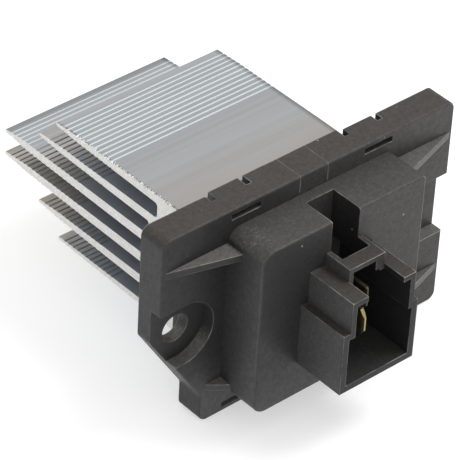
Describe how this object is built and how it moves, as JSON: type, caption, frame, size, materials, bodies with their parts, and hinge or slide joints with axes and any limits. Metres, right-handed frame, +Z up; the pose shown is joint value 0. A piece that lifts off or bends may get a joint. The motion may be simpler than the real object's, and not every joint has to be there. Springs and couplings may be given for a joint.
{
  "type": "blower motor resistor",
  "caption": "Flanged module with a keyed plug socket and a comb heat sink that sits in a blower's air stream and sets its fan speed.",
  "frame": {"origin": "midway between the two flange screw holes, at the back of the seats that the screw heads clamp", "axes": "+X along the flange's length, +Y from the plug side towards the fins, +Z up along the flange's height"},
  "size_m": [0.0754, 0.0909, 0.0503],
  "materials": {
    "housing": "fine matt moulded black polyamide",
    "heat_sink": "mill finish extrusion with bright sawn ends",
    "blade": "polished",
    "pin": "tinned",
    "board": "green solder mask",
    "black_case": "moulded epoxy",
    "tab": "tinned copper",
    "pad": "filled silicone",
    "screw": "zinc plated",
    "can": "drawn can",
    "strip": "resistance alloy strip"
  },
  "bodies": {
    "root": {"base_housing": "housing", "heat_sink": "heat_sink", "heat_sink_screws": "screw", "thermal_pad": "pad", "transistor_tab": "tab", "transistor_case": "black_case", "transistor_leads": "pin", "transistor_screw": "screw", "circuit_board": "board", "blade_upper": "blade", "blade_lower": "blade", "signal_pin_left": "pin", "signal_pin_right": "pin", "capacitor": "can", "shunt_resistor": "strip", "control_chip": "black_case", "thermal_fuse": "tab", "suppressor_diode": "black_case"}
  },
  "joints": []
}
